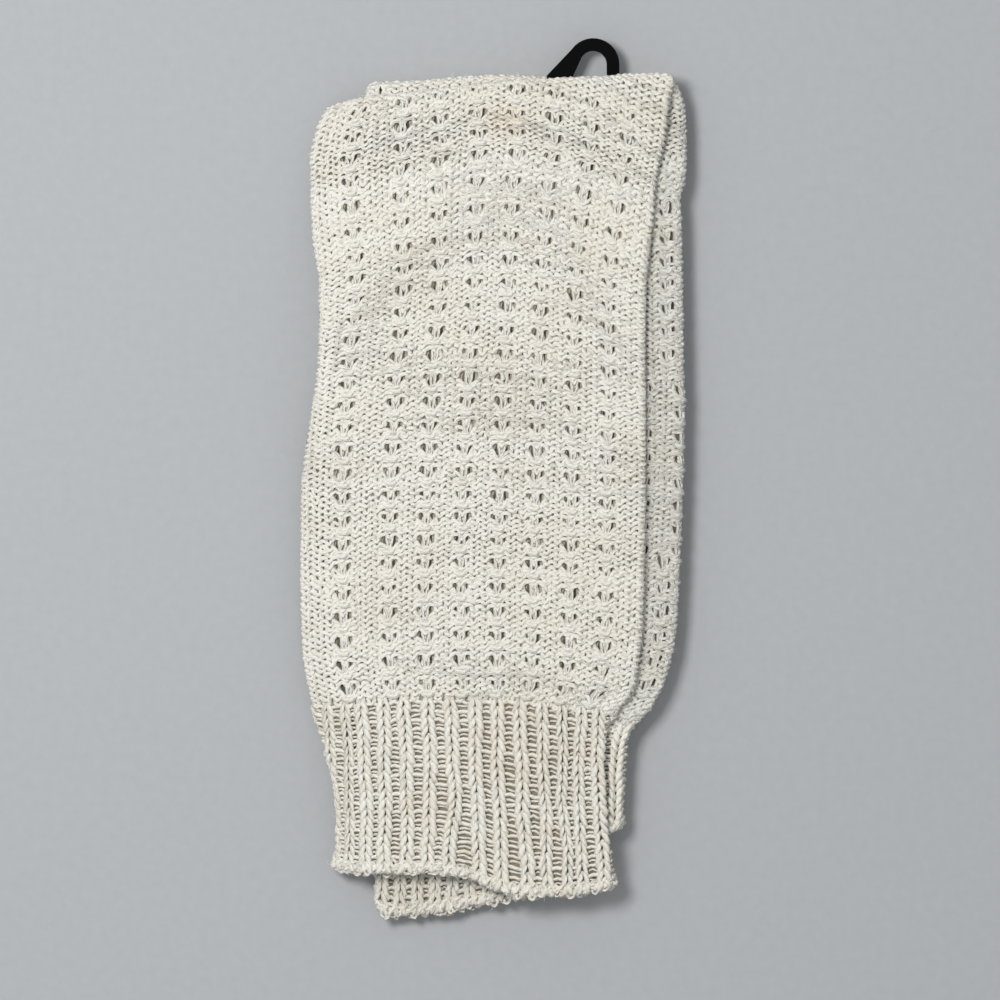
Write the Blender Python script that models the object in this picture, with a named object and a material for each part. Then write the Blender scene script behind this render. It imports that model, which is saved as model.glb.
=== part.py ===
"""A pair of eyelet-knit leg warmers, each folded once across its middle and laid on the other.

The pair lies on its back: +Z up, +Y towards the two folds, the ribbed cuffs towards -Y.
Sizes below are in millimetres and become metres when a mesh is made.
"""

import math
from collections import namedtuple

import bmesh
import bpy
import numpy as np

MM = 0.001

# Middle of the whole outline in the sizes below, which becomes the origin
CENTRE_X, CENTRE_Y = -0.073, 1.468

# Cloth
KNIT_WALL = 1.7                      # one thickness of the eyelet knit
PLY_GAP = 0.4                        # air between the two walls of a tube that lies flat
HALF = KNIT_WALL + PLY_GAP / 2       # half the height of one flat tube
SEAM_GAP = 0.3                       # between two neighbouring pieces
LAYER = 2 * HALF                     # height of one flat tube
STEP = LAYER + SEAM_GAP              # from one tube up to the next
FOLD_RADIUS = STEP / 2               # middle of a tube round its fold
STACK = 2 * STEP                     # underside of the front leg warmer above the ground

# Heights of the middle of each flat tube, from the ground up
LEVEL = {"back_under": HALF, "back_top": HALF + STEP, "front_under": HALF + 2 * STEP,
         "front_top": HALF + 3 * STEP}

# The front leg warmer sags to the ground where it reaches past the back one
SAG = 8.0
SAG_START = -1.0                     # it starts this far inside the back one's edge
SAG_WIDTH = 12.0

# Ribbed cuffs
RIB_DEPTH = 0.7
RIBS = {"front_top": 14, "front_under": 14, "back_top": 13, "back_under": 0}
RIB_RISE, RIB_FALL = 0.3, 0.7        # where a rib's top starts and ends, as a share of its width
LIP = 0.75                           # height of the rolled lip at the hem, as a share of HALF

# Hook
HOOK_THICK = 1.8
HOOK_STRIP = 4.3
HOOK_EYE_X, HOOK_EYE_Y = 33.8, 141.6
HOOK_RADIUS = 6.75                   # middle of the strip round the eye
HOOK_TURN = 145.0                    # degrees of arc, from the right side over the top
HOOK_STEPS = 14                      # spans of that arc
HOOK_STEM_X, HOOK_STEM_Y, HOOK_STEM_WIDTH = 22.0, 136.5, 8.2
HOOK_FOOT_X, HOOK_FOOT_Y = 21.4, 126.0
HOOK_TIP_Y, HOOK_TIP_RISE, HOOK_TIP_WIDTH = 136.6, 1.0, 3.4

# Dent in the back leg warmer that the hook presses
DENT_LEFT, DENT_RIGHT, DENT_BOTTOM, DENT_SLOPE = 17.0, 45.4, 124.5, 3.0
DENT_FLOOR = LEVEL["back_top"] + HALF - HOOK_THICK - SEAM_GAP

Edge = namedtuple("Edge", "y x")     # a side edge passes through x at height y
Line = namedtuple("Line", "x y")     # a fold, seam or hem passes through y at x
Station = namedtuple("Station", "half share turn")

FRONT_TOP_LEFT = [
    Edge(127.2, -56.6), Edge(122.7, -59.0), Edge(117.0, -61.2), Edge(109.5, -62.7),
    Edge(95.9, -62.1), Edge(82.3, -61.4), Edge(68.7, -59.3), Edge(55.1, -59.0),
    Edge(34.7, -60.0), Edge(14.3, -63.4), Edge(0.7, -65.3), Edge(-26.5, -65.8),
    Edge(-46.9, -65.5), Edge(-60.5, -64.8), Edge(-74.1, -62.1), Edge(-80.9, -61.0),
    Edge(-87.7, -59.0), Edge(-94.5, -56.3), Edge(-101.3, -54.9), Edge(-114.9, -53.6),
    Edge(-121.7, -53.2), Edge(-129.5, -54.9)]
FRONT_TOP_RIGHT = [
    Edge(138.7, 59.7), Edge(135.3, 61.4), Edge(130.6, 60.0), Edge(121.4, 59.0),
    Edge(112.9, 57.6), Edge(106.1, 55.9), Edge(95.9, 54.6), Edge(82.3, 53.4),
    Edge(68.7, 51.9), Edge(48.3, 51.5), Edge(7.5, 51.7), Edge(-16.3, 51.5),
    Edge(-40.1, 51.0), Edge(-53.7, 50.2), Edge(-63.2, 49.0), Edge(-69.4, 48.1),
    Edge(-74.1, 45.1), Edge(-77.5, 42.0), Edge(-81.6, 39.6), Edge(-88.1, 38.6),
    Edge(-96.6, 37.6), Edge(-108.1, 37.9), Edge(-119.3, 39.3), Edge(-125.1, 40.6),
    Edge(-137.0, 42.0)]
FRONT_UNDER_RIGHT = [
    Edge(138.7, 59.7), Edge(135.3, 61.4), Edge(132.6, 63.4), Edge(129.2, 64.6),
    Edge(123.1, 65.5), Edge(116.3, 65.8), Edge(102.7, 65.1), Edge(95.9, 63.4),
    Edge(82.3, 64.1), Edge(27.9, 64.9), Edge(0.7, 64.4), Edge(-33.3, 63.1),
    Edge(-46.9, 62.4), Edge(-57.1, 61.2), Edge(-63.2, 59.4), Edge(-68.7, 57.8),
    Edge(-76.5, 53.9), Edge(-81.6, 48.8), Edge(-84.3, 47.1), Edge(-88.1, 46.1),
    Edge(-100.3, 45.2), Edge(-115.3, 44.4)]
BACK_LEFT = [
    Edge(135.7, -40.6), Edge(133.3, -43.2), Edge(126.5, -44.7), Edge(112.9, -48.8),
    Edge(95.9, -51.5), Edge(61.9, -53.6), Edge(27.9, -54.6), Edge(-40.1, -54.2),
    Edge(-67.3, -51.5), Edge(-80.9, -48.1), Edge(-94.5, -44.7), Edge(-108.1, -42.7),
    Edge(-128.5, -41.0), Edge(-140.4, -40.6), Edge(-147.2, -38.2)]
BACK_RIGHT = [
    Edge(137.0, 58.0), Edge(133.3, 60.0), Edge(123.1, 60.7), Edge(95.9, 61.4),
    Edge(27.9, 62.1), Edge(-6.1, 61.7), Edge(-40.1, 60.4), Edge(-60.5, 58.0),
    Edge(-74.1, 52.5), Edge(-80.9, 46.4), Edge(-87.7, 42.3), Edge(-101.3, 40.3),
    Edge(-121.7, 38.2), Edge(-138.7, 36.2)]
UNDER_INSET = 1.2                    # the half folded under lies this far inside at the left

FRONT_FOLD = [
    Line(-58.3, 126.5), Line(-46.8, 129.8), Line(-31.8, 131.6), Line(-11.4, 134.0),
    Line(9.0, 136.3), Line(36.2, 137.4), Line(47.1, 138.4), Line(59.7, 138.4)]
BACK_FOLD = [
    Line(-43.4, 134.2), Line(-40.6, 135.8), Line(-25.0, 136.3), Line(-11.4, 137.7),
    Line(2.2, 138.4), Line(22.6, 137.5), Line(36.2, 136.8), Line(59.3, 136.6)]
FRONT_TOP_SEAM = [Line(-62.1, -75.8), Line(-28.0, -73.2), Line(10.0, -73.6), Line(46.0, -78.0)]
FRONT_UNDER_SEAM = [Line(-62.1, -79.0), Line(0.0, -79.0), Line(48.0, -82.5)]
BACK_SEAM = [Line(-48.0, -79.5), Line(47.0, -79.5)]
FRONT_TOP_HEM = [
    Line(-55.3, -130.9), Line(-48.8, -132.3), Line(-19.6, -132.3), Line(-7.0, -134.3),
    Line(-1.2, -137.4), Line(7.3, -140.2), Line(24.3, -140.2), Line(36.2, -138.4),
    Line(42.0, -136.3)]
FRONT_UNDER_HEM = [Line(-53.0, -124.0), Line(20.0, -121.5), Line(40.0, -118.6),
                   Line(44.4, -116.2)]
BACK_TOP_HEM = [
    Line(-41.0, -145.0), Line(-36.5, -147.6), Line(-19.6, -146.5), Line(-7.0, -143.8),
    Line(9.0, -141.1), Line(36.2, -137.0)]
BACK_UNDER_HEM = [Line(-40.0, -141.5), Line(36.0, -134.0)]

# How far down a half each ring of the tube lies, from its fold (0) to its seam (1)
BODY_SHARES = (0.0, 0.03, 0.08, 0.14, 0.21, 0.29, 0.37, 0.46, 0.55, 0.64, 0.73, 0.82, 0.90,
               0.96, 1.0)
UNDER_SHARES = (0.0, 0.06, 0.16, 0.28, 0.42, 0.58, 0.74, 0.86, 0.94, 1.0)
FOLD_TURNS = (30.0, 60.0, 90.0, 120.0, 150.0)
BACK_TURNS = (25.0, 50.0, 70.0, 84.0)
CUFF_SHARES = {"front_top": (0.0, 0.1, 0.25, 0.45, 0.65, 0.85, 0.96, 1.0),
               "front_under": (0.0, 0.15, 0.4, 0.7, 0.95, 1.0),
               "back_top": (0.0, 0.3, 0.6, 0.85, 0.96, 1.0),
               "back_under": (0.0, 0.3, 0.6, 0.85, 1.0)}
FLAT_ACROSS = (0.03, 0.06, 0.09, 0.12, 0.15, 0.2, 0.3, 0.42, 0.54, 0.66, 0.78, 0.88, 0.95)
END_ANGLES = (90.0, 55.0, 20.0, -20.0, -55.0, -90.0)
GROOVE_DEPTH = 2.2                   # at the seam, and it closes towards the fold
GROOVE_CLOSED = -0.1
LAYER_ANGLES = (-50.0, -20.0, 15.0, 50.0, 90.0)
CREST_ANGLES = (10.0, 25.0, 45.0, 68.0, 90.0)
BACK_ACROSS = (0.1, 0.22, 0.34, 0.46, 0.55, 0.585, 0.65, 0.72, 0.79, 0.855, 0.9)
BACK_SHARES = (0.0, 0.02, 0.045, 0.06, 0.1, 0.17, 0.26, 0.37, 0.5, 0.62, 0.74, 0.85, 0.93, 1.0)

CLOTH = ("cream_knit", (0.80, 0.76, 0.67), 0.92)
RIB = ("cream_rib", (0.80, 0.75, 0.65), 0.92)
PLASTIC = ("black_plastic", (0.012, 0.012, 0.013), 0.38)


def clear_scene():
    """Start from an empty scene."""
    for item in list(bpy.data.objects):
        bpy.data.objects.remove(item)


def collection(name):
    """A new collection under the scene."""
    group = bpy.data.collections.new(name)
    bpy.context.scene.collection.children.link(group)
    return group


def material(name, colour, roughness):
    """A plain Principled material."""
    made = bpy.data.materials.new(name)
    made.use_nodes = True
    shader = made.node_tree.nodes["Principled BSDF"]
    shader.inputs["Base Color"].default_value = (*colour, 1.0)
    shader.inputs["Roughness"].default_value = roughness
    shader.inputs["Metallic"].default_value = 0.0
    return made


def across(edge, y):
    """x of a side edge at height y."""
    rows = sorted(edge)
    return float(np.interp(y, [row.y for row in rows], [row.x for row in rows]))


def along(line, x):
    """y of a fold, seam or hem at x."""
    return float(np.interp(x, [row.x for row in line], [row.y for row in line]))


def smooth(value):
    """0 to 1 with soft ends."""
    t = min(max(value, 0.0), 1.0)
    return t * t * (3 - 2 * t)


def sag(x, y):
    """How far the front leg warmer sinks where the back one no longer carries it."""
    left = (x - across(BACK_LEFT, y) + SAG_WIDTH - SAG_START) / SAG_WIDTH
    right = (across(BACK_RIGHT, y) - x + SAG_WIDTH - SAG_START) / SAG_WIDTH
    return SAG * (1 - smooth(left) * smooth(right))


def side_edges(leg, half, y):
    """Left and right edge of one half of a leg warmer at height y."""
    if leg == "back":
        return across(BACK_LEFT, y), across(BACK_RIGHT, y)
    left = across(FRONT_TOP_LEFT, y)
    if half == "top":
        return left, across(FRONT_TOP_RIGHT, y)
    return left + UNDER_INSET, across(FRONT_UNDER_RIGHT, y)


def read_line(line, leg, half, share):
    """y of a slanted fold, seam or hem at a share of the tube's width."""
    left, right = side_edges(leg, half, along(line, 0.0))
    return along(line, left + share * (right - left))


def plain_face():
    """Places across one face of a plain tube: share of the width, and full height."""
    return [(share, 1.0) for share in FLAT_ACROSS]


def ribbed_face(ribs):
    """Places across one face of a ribbed tube: a valley between two tops for each rib."""
    face = []
    for rib in range(ribs):
        if rib > 0:
            face.append((rib / ribs, 0.0))
            face.append(((rib + RIB_RISE) / ribs, 1.0))
        if rib < ribs - 1:
            face.append(((rib + RIB_FALL) / ribs, 1.0))
    return face


def flat_ring(face):
    """Section of a flat tube: share of the width, the way out in x and z, and rib height."""
    angles = [math.radians(a) for a in END_ANGLES]
    ring = [(share, 0.0, 1.0, top) for share, top in face]
    ring += [(1.0, math.cos(a), math.sin(a), 1.0) for a in angles]
    ring += [(share, 0.0, -1.0, top) for share, top in reversed(face)]
    ring += [(0.0, -math.cos(a), math.sin(a), 1.0) for a in reversed(angles)]
    return ring


def front_point(station, share, out_x, out_z, reach):
    """A point of the front tube, `reach` millimetres out from the middle of its section."""
    tangent = read_line(FRONT_FOLD, "front", "top", share) - FOLD_RADIUS - HALF
    middle = LEVEL["front_under"] + FOLD_RADIUS
    turn = math.radians(station.turn)
    if station.half == "fold":
        y_middle = tangent + FOLD_RADIUS * math.sin(turn)
        z_middle = middle - FOLD_RADIUS * math.cos(turn)
        mix = smooth(station.turn / 180.0)
        under = side_edges("front", "under", y_middle)
        top = side_edges("front", "top", y_middle)
        left, right = (u + mix * (t - u) for u, t in zip(under, top))
    else:
        seam_line = FRONT_TOP_SEAM if station.half == "top" else FRONT_UNDER_SEAM
        seam = read_line(seam_line, "front", station.half, share)
        y_middle = tangent + station.share * (seam - tangent)
        z_middle = LEVEL[f"front_{station.half}"]
        left, right = side_edges("front", station.half, y_middle)
    x = left + HALF + share * (right - left - 2 * HALF) + reach * out_x
    y = y_middle + reach * out_z * math.sin(turn)
    z = z_middle - reach * out_z * math.cos(turn)
    return x, y, z - sag(x, y_middle)


def cuff_point(leg, half, seam, hem, station, share, out_x, out_z, reach):
    """A point of a flat cuff, `reach` millimetres out from the middle of its section."""
    start = read_line(seam, leg, half, share) - SEAM_GAP
    end = read_line(hem, leg, half, share)
    y = start + station * (end - start)
    left, right = side_edges(leg, half, y)
    x = left + HALF + share * (right - left - 2 * HALF) + reach * out_x
    z = LEVEL[f"{leg}_{half}"] + reach * out_z
    if leg == "front":
        z -= sag(x, y)
    return x, y, z


def new_object(name, vertices, faces, look, group):
    """A closed mesh from millimetre points, in the object's collection."""
    mesh = bpy.data.meshes.new(name)
    points = [((x - CENTRE_X) * MM, (y - CENTRE_Y) * MM, z * MM) for x, y, z in vertices]
    mesh.from_pydata(points, [], faces)
    shape = bmesh.new()
    shape.from_mesh(mesh)
    bmesh.ops.recalc_face_normals(shape, faces=shape.faces)
    if shape.calc_volume(signed=True) < 0:
        bmesh.ops.reverse_faces(shape, faces=shape.faces)
    shape.to_mesh(mesh)
    shape.free()
    mesh.shade_smooth()
    mesh.materials.append(look)
    made = bpy.data.objects.new(name, mesh)
    group.objects.link(made)
    return made


def wall_faces(rings, points):
    """Faces of an outer and an inner skin, joined round both open ends."""
    faces = []
    inner = rings * points
    for ring in range(rings - 1):
        for i in range(points):
            j = (i + 1) % points
            a, b = ring * points + i, ring * points + j
            faces.append((a, b, b + points, a + points))
            faces.append((inner + a + points, inner + b + points, inner + b, inner + a))
    last = (rings - 1) * points
    for i in range(points):
        j = (i + 1) % points
        faces.append((inner + i, inner + j, j, i))
        faces.append((last + i, last + j, inner + last + j, inner + last + i))
    return faces


def front_body(name, look, group):
    """A knitted tube folded once: its lower half, the fold, and its upper half."""
    stations = [Station("under", share, 0.0) for share in reversed(UNDER_SHARES)]
    stations += [Station("fold", 0.0, turn) for turn in FOLD_TURNS]
    stations += [Station("top", share, 180.0) for share in BODY_SHARES]
    ring = flat_ring(plain_face())
    vertices = []
    for reach in (HALF, PLY_GAP / 2):
        for station in stations:
            vertices += [front_point(station, share, out_x, out_z, reach)
                         for share, out_x, out_z, _ in ring]
    faces = wall_faces(len(stations), len(ring))
    return new_object(name, vertices, faces, look, group)


def cuff(name, leg, half, seam, hem, look, group):
    """A ribbed tube that lies flat, open at its hem."""
    key = f"{leg}_{half}"
    ring = flat_ring(ribbed_face(RIBS[key]) if RIBS[key] else plain_face())
    stations = CUFF_SHARES[key]
    vertices = []
    for reach in (HALF, PLY_GAP / 2):
        for station in stations:
            lip = LIP if station == 1.0 and reach == HALF else 1.0
            for share, out_x, out_z, top in ring:
                out = reach * lip
                if reach == HALF:
                    out -= RIB_DEPTH * (1 - top)
                vertices.append(cuff_point(leg, half, seam, hem, station,
                                           share, out_x, out_z, out))
    faces = wall_faces(len(stations), len(ring))
    return new_object(name, vertices, faces, look, group)


def layered_section(closed):
    """Half a section of the back leg warmer, from the groove at the left over the top."""
    angles = [math.radians(a + closed * (b - a)) for a, b in zip(LAYER_ANGLES, CREST_ANGLES)]
    left = [(0.0, -math.cos(a), math.sin(a)) for a in angles]
    right = [(1.0, math.cos(a), math.sin(a)) for a in reversed(angles)]
    flat = [(share, 0.0, 1.0) for share in BACK_ACROSS]
    return left + flat + right


def dented(x, y, z):
    """Height of the back leg warmer's top under the hook."""
    side = min(x - DENT_LEFT, DENT_RIGHT - x) / DENT_SLOPE
    end = (y - DENT_BOTTOM) / DENT_SLOPE
    floor = z + (DENT_FLOOR - z) * smooth(min(side, end) + 1.0)
    return min(z, floor)


def back_body(name, look, group):
    """The folded back leg warmer as one rounded solid, with a groove between its layers."""
    middle = LEVEL["back_under"] + FOLD_RADIUS
    stations = [Station("top", share, 0.0) for share in reversed(BACK_SHARES)]
    stations += [Station("fold", 0.0, turn) for turn in BACK_TURNS]
    vertices = []
    for station in stations:
        turn = math.radians(station.turn)
        closed = station.turn / BACK_TURNS[-1]
        upper, lower = [], []
        for share, out_x, out_z in layered_section(closed):
            tangent = read_line(BACK_FOLD, "back", "top", share) - FOLD_RADIUS - HALF
            seam = read_line(BACK_SEAM, "back", "top", share)
            y = tangent + station.share * (seam - tangent)
            y += (FOLD_RADIUS + HALF) * math.sin(turn)
            left, right = side_edges("back", "top", y)
            x = left + HALF + share * (right - left - 2 * HALF) + HALF * out_x
            rise = (FOLD_RADIUS + HALF * out_z) * math.cos(turn)
            upper.append((x, y, dented(x, y, middle + rise)))
            lower.append((x, y, middle - rise))
        groove = GROOVE_DEPTH + closed * (GROOVE_CLOSED - GROOVE_DEPTH)
        left_y, right_y = upper[0][1], upper[-1][1]
        vertices.append((across(BACK_LEFT, left_y) + groove, left_y, middle))
        vertices += upper
        vertices.append((across(BACK_RIGHT, right_y) - groove, right_y, middle))
        vertices += reversed(lower)
    half = len(upper)
    count = 2 * half + 2
    faces = []
    for ring in range(len(stations) - 1):
        for i in range(count):
            a, b = ring * count + i, ring * count + (i + 1) % count
            faces.append((a, b, b + count, a + count))
    faces.append(tuple(range(count)))
    crest = (len(stations) - 1) * count
    for i in range(half + 1):
        corners = dict.fromkeys((i, i + 1, count - i - 1, (count - i) % count))
        faces.append(tuple(crest + corner for corner in corners))
    return new_object(name, vertices, faces, look, group)


def hook_path():
    """Middle points of the hook's strip with its width there, from the tip to the foot."""
    tip_x = HOOK_EYE_X + HOOK_RADIUS
    path = [(tip_x, HOOK_TIP_Y, HOOK_TIP_WIDTH),
            (tip_x, HOOK_TIP_Y + HOOK_TIP_RISE, HOOK_STRIP)]
    for i in range(HOOK_STEPS + 1):
        angle = math.radians(HOOK_TURN * i / HOOK_STEPS)
        path.append((HOOK_EYE_X + HOOK_RADIUS * math.cos(angle),
                     HOOK_EYE_Y + HOOK_RADIUS * math.sin(angle), HOOK_STRIP))
    path.append((HOOK_STEM_X, HOOK_STEM_Y, HOOK_STEM_WIDTH))
    path.append((HOOK_FOOT_X, HOOK_FOOT_Y, HOOK_STEM_WIDTH))
    return path


def hook(name, look, group):
    """A flat strip bent into an open hook, widening into its stem."""
    path = hook_path()
    left, right = [], []
    for i, (x, y, width) in enumerate(path):
        before = path[max(i - 1, 0)]
        after = path[min(i + 1, len(path) - 1)]
        run_x, run_y = after[0] - before[0], after[1] - before[1]
        length = math.hypot(run_x, run_y)
        side_x, side_y = -run_y / length * width / 2, run_x / length * width / 2
        left.append((x + side_x, y + side_y))
        right.append((x - side_x, y - side_y))
    outline = left + right[::-1]
    curve = bpy.data.curves.new(name, "CURVE")
    curve.dimensions = "2D"
    curve.fill_mode = "BOTH"
    curve.extrude = HOOK_THICK / 2 * MM
    spline = curve.splines.new("POLY")
    spline.points.add(len(outline) - 1)
    for point, (x, y) in zip(spline.points, outline):
        point.co = (x * MM, y * MM, 0.0, 1.0)
    spline.use_cyclic_u = True
    curve.materials.append(look)
    made = bpy.data.objects.new(name, curve)
    z_middle = DENT_FLOOR + SEAM_GAP + HOOK_THICK / 2
    made.location = (-CENTRE_X * MM, -CENTRE_Y * MM, z_middle * MM)
    group.objects.link(made)
    return made


def build():
    clear_scene()
    group = collection("folded_leg_warmers")
    cloth = material(*CLOTH)
    rib = material(*RIB)
    plastic = material(*PLASTIC)
    front_body("front_leg_body", cloth, group)
    cuff("front_leg_top_cuff", "front", "top", FRONT_TOP_SEAM, FRONT_TOP_HEM, rib, group)
    cuff("front_leg_under_cuff", "front", "under", FRONT_UNDER_SEAM, FRONT_UNDER_HEM, rib, group)
    back_body("back_leg_body", cloth, group)
    cuff("back_leg_top_cuff", "back", "top", BACK_SEAM, BACK_TOP_HEM, rib, group)
    cuff("back_leg_under_cuff", "back", "under", BACK_SEAM, BACK_UNDER_HEM, rib, group)
    hook("hanger_hook", plastic, group)


build()
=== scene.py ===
# %% [markdown]
# # A pair of knitted leg warmers, folded and stacked
# Two cream cotton leg warmers lie flat, each folded once across its middle. The tubes are an
# eyelet pattern on reverse stockinette, and their ends are ribbed cuffs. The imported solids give
# every layer its place. This script puts real yarn on them: each course of knitting is one curve
# that follows the cloth, and Geometry Nodes turn the curves into round yarn.

import math

import bmesh
import bpy
import numpy as np
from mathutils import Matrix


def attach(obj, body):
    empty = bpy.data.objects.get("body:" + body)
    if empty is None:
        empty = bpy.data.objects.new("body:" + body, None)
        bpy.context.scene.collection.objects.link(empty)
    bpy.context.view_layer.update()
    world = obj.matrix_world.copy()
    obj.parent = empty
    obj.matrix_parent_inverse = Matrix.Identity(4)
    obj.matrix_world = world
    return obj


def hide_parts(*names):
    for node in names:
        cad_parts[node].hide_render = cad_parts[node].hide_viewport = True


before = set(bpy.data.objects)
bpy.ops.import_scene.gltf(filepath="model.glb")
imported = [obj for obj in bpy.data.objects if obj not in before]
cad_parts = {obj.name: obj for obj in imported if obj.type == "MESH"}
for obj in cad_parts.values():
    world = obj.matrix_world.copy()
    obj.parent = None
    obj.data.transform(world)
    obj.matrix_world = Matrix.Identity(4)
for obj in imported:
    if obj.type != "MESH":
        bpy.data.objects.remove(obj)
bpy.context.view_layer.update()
print("nodes", sorted(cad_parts))

# %% [markdown]
# ## Where the cloth lies
# The solids were built from a few lines: side edges, folds, seams and hems, in millimetres. The
# same lines are repeated here, so that yarn can be laid on the cloth without reading a mesh.
# Edges are pairs of y and x, and folds, seams and hems are pairs of x and y.

# %% Lines of the garment
MM = 0.001
CENTRE_X, CENTRE_Y = -0.073, 1.468
HALF, SEAM_GAP = 1.9, 0.3
STEP = 2 * HALF + SEAM_GAP
FOLD_RADIUS = STEP / 2
LEVEL = {("back", "under"): HALF, ("back", "top"): HALF + STEP,
         ("front", "under"): HALF + 2 * STEP, ("front", "top"): HALF + 3 * STEP}
SAG, SAG_START, SAG_WIDTH = 8.0, -1.0, 12.0

FRONT_TOP_LEFT = [
    (127.2, -56.6), (122.7, -59.0), (117.0, -61.2), (109.5, -62.7), (95.9, -62.1),
    (82.3, -61.4), (68.7, -59.3), (55.1, -59.0), (34.7, -60.0), (14.3, -63.4), (0.7, -65.3),
    (-26.5, -65.8), (-46.9, -65.5), (-60.5, -64.8), (-74.1, -62.1), (-80.9, -61.0),
    (-87.7, -59.0), (-94.5, -56.3), (-101.3, -54.9), (-114.9, -53.6), (-121.7, -53.2),
    (-129.5, -54.9)]
FRONT_TOP_RIGHT = [
    (138.7, 59.7), (135.3, 61.4), (130.6, 60.0), (121.4, 59.0), (112.9, 57.6), (106.1, 55.9),
    (95.9, 54.6), (82.3, 53.4), (68.7, 51.9), (48.3, 51.5), (7.5, 51.7), (-16.3, 51.5),
    (-40.1, 51.0), (-53.7, 50.2), (-63.2, 49.0), (-69.4, 48.1), (-74.1, 45.1), (-77.5, 42.0),
    (-81.6, 39.6), (-88.1, 38.6), (-96.6, 37.6), (-108.1, 37.9), (-119.3, 39.3),
    (-125.1, 40.6), (-137.0, 42.0)]
FRONT_UNDER_RIGHT = [
    (138.7, 59.7), (135.3, 61.4), (132.6, 63.4), (129.2, 64.6), (123.1, 65.5), (116.3, 65.8),
    (102.7, 65.1), (95.9, 63.4), (82.3, 64.1), (27.9, 64.9), (0.7, 64.4), (-33.3, 63.1),
    (-46.9, 62.4), (-57.1, 61.2), (-63.2, 59.4), (-68.7, 57.8), (-76.5, 53.9), (-81.6, 48.8),
    (-84.3, 47.1), (-88.1, 46.1), (-100.3, 45.2), (-115.3, 44.4)]
BACK_LEFT = [
    (135.7, -40.6), (133.3, -43.2), (126.5, -44.7), (112.9, -48.8), (95.9, -51.5),
    (61.9, -53.6), (27.9, -54.6), (-40.1, -54.2), (-67.3, -51.5), (-80.9, -48.1),
    (-94.5, -44.7), (-108.1, -42.7), (-128.5, -41.0), (-140.4, -40.6), (-147.2, -38.2)]
BACK_RIGHT = [
    (137.0, 58.0), (133.3, 60.0), (123.1, 60.7), (95.9, 61.4), (27.9, 62.1), (-6.1, 61.7),
    (-40.1, 60.4), (-60.5, 58.0), (-74.1, 52.5), (-80.9, 46.4), (-87.7, 42.3), (-101.3, 40.3),
    (-121.7, 38.2), (-138.7, 36.2)]
UNDER_INSET = 1.2

FOLD = {
    "front": [(-58.3, 126.5), (-46.8, 129.8), (-31.8, 131.6), (-11.4, 134.0), (9.0, 136.3),
              (36.2, 137.4), (47.1, 138.4), (59.7, 138.4)],
    "back": [(-43.4, 134.2), (-40.6, 135.8), (-25.0, 136.3), (-11.4, 137.7), (2.2, 138.4),
             (22.6, 137.5), (36.2, 136.8), (59.3, 136.6)]}
SEAM = {
    ("front", "top"): [(-62.1, -75.8), (-28.0, -73.2), (10.0, -73.6), (46.0, -78.0)],
    ("front", "under"): [(-62.1, -79.0), (0.0, -79.0), (48.0, -82.5)],
    ("back", "top"): [(-48.0, -79.5), (47.0, -79.5)],
    ("back", "under"): [(-48.0, -79.5), (47.0, -79.5)]}
HEM = {
    ("front", "top"): [(-55.3, -130.9), (-48.8, -132.3), (-19.6, -132.3), (-7.0, -134.3),
                       (-1.2, -137.4), (7.3, -140.2), (24.3, -140.2), (36.2, -138.4),
                       (42.0, -136.3)],
    ("front", "under"): [(-53.0, -124.0), (20.0, -121.5), (40.0, -118.6), (44.4, -116.2)],
    ("back", "top"): [(-41.0, -145.0), (-36.5, -147.6), (-19.6, -146.5), (-7.0, -143.8),
                      (9.0, -141.1), (36.2, -137.0)],
    ("back", "under"): [(-40.0, -141.5), (36.0, -134.0)]}


def read_line(rows, value):
    """Second number of a line's pairs where the first one is `value`."""
    rows = np.array(sorted(rows))
    return np.interp(value, rows[:, 0], rows[:, 1])


def soft_step(value):
    """0 to 1 with soft ends."""
    t = np.clip(value, 0.0, 1.0)
    return t * t * (3 - 2 * t)


def side_edges(leg, half, y):
    """Left and right edge of one half of a leg warmer at height y."""
    if leg == "back":
        return read_line(BACK_LEFT, y), read_line(BACK_RIGHT, y)
    left = read_line(FRONT_TOP_LEFT, y)
    if half == "top":
        return left, read_line(FRONT_TOP_RIGHT, y)
    return left + UNDER_INSET, read_line(FRONT_UNDER_RIGHT, y)


def edges_at_turn(leg, y, turn):
    """Left and right edge part of the way round the fold: turn 0 is below, pi is on top."""
    mix = soft_step(turn / math.pi)
    pairs = zip(side_edges(leg, "under", y), side_edges(leg, "top", y))
    left, right = (low + mix * (high - low) for low, high in pairs)
    return left, right


def sag(leg, x, y):
    """How far the front leg warmer sinks beside the back one."""
    if leg == "back":
        return 0.0 * x
    left = (x - read_line(BACK_LEFT, y) + SAG_WIDTH - SAG_START) / SAG_WIDTH
    right = (read_line(BACK_RIGHT, y) - x + SAG_WIDTH - SAG_START) / SAG_WIDTH
    return SAG * (1 - soft_step(left) * soft_step(right))


print("thickness of the stack", LEVEL[("front", "top")] + HALF, "mm")

# %% [markdown]
# ## From stitches to places
# A knitter counts wales (columns) round the tube and courses (rows) along it. Such a count is
# first a place on a flat face. Three functions take it on to the folded cloth: one for the eyelet
# stretch, which runs over the fold, one for a half that lies flat, and one for a cuff. Beyond an
# edge a place runs round the tube's rounded side and on below, as real knitting does.

# %% Places on the tubes
MID_WALL = 1.0                     # from the middle of a flat tube to the middle of its wall


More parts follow.
